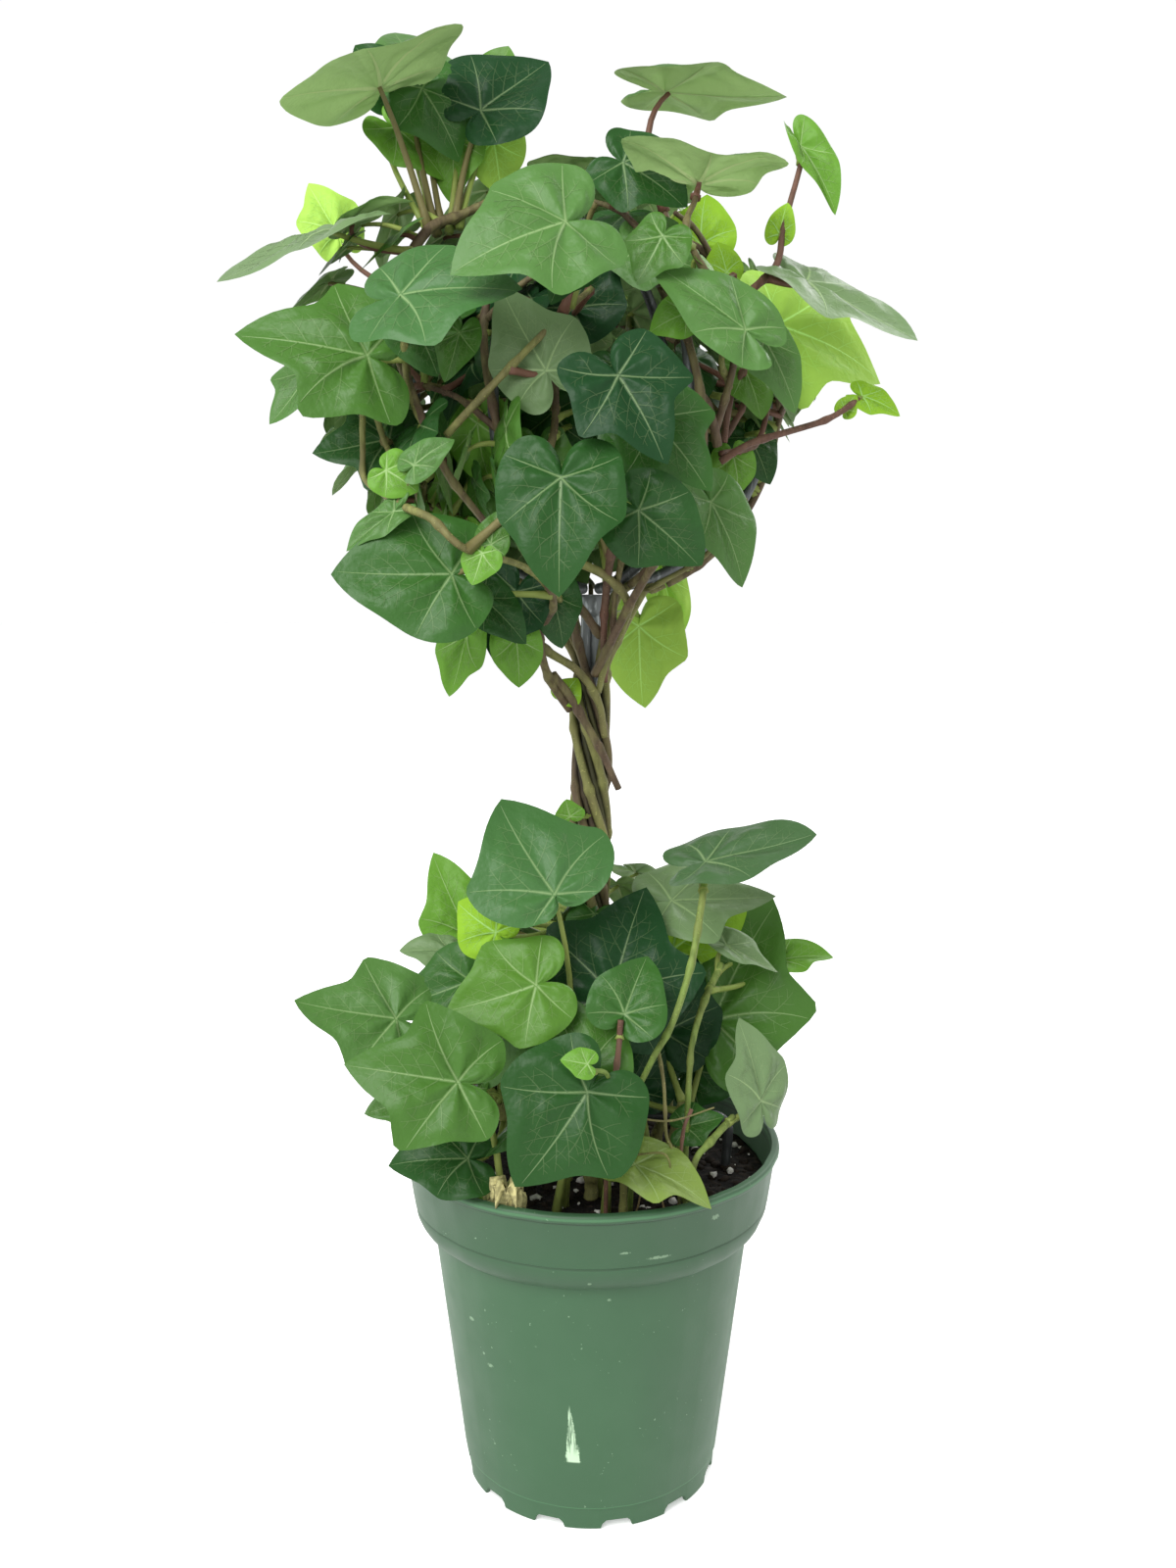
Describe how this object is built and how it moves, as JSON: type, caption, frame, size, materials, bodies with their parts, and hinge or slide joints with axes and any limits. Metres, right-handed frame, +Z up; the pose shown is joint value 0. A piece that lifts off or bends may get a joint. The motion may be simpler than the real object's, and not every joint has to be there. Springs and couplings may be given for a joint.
{
  "type": "potted ivy topiary globe",
  "caption": "Potted ivy trained over a wire frame into a round head on a twined bare stem, with a low skirt of leaves over the soil of a tapered plastic nursery pot.",
  "frame": {"origin": "middle of the pot's flat underside, on the surface that the pot stands on", "axes": "+Z up along the stem, -Y towards the front shown in the picture, +X to the right seen from the front"},
  "size_m": [0.1799, 0.1805, 0.4259],
  "materials": {
    "pot": "satin grey-green moulded plastic",
    "soil": "dark crumbly potting soil with pale perlite grains",
    "wire": "dull grey coated wire",
    "stem": "olive-brown young bark",
    "foliage": "satin green ivy leaves with pale veins"
  },
  "bodies": {
    "root": {"pot": "pot", "soil": "soil", "wire_stand": "wire", "wire_hoop_1": "wire", "wire_hoop_2": "wire", "wire_hoop_3": "wire", "wire_hoop_4": "wire", "wire_hoop_5": "wire", "wire_hoop_6": "wire", "stem_1": "stem", "stem_2": "stem", "stem_3": "stem", "stem_4": "stem", "stem_5": "stem", "stem_6": "stem", "crown_1": "foliage", "crown_2": "foliage", "crown_3": "foliage", "crown_4": "foliage", "crown_5": "foliage", "crown_6": "foliage", "skirt_1": "foliage", "skirt_2": "foliage", "skirt_3": "foliage", "skirt_4": "foliage", "skirt_5": "foliage", "skirt_6": "foliage"}
  },
  "joints": []
}
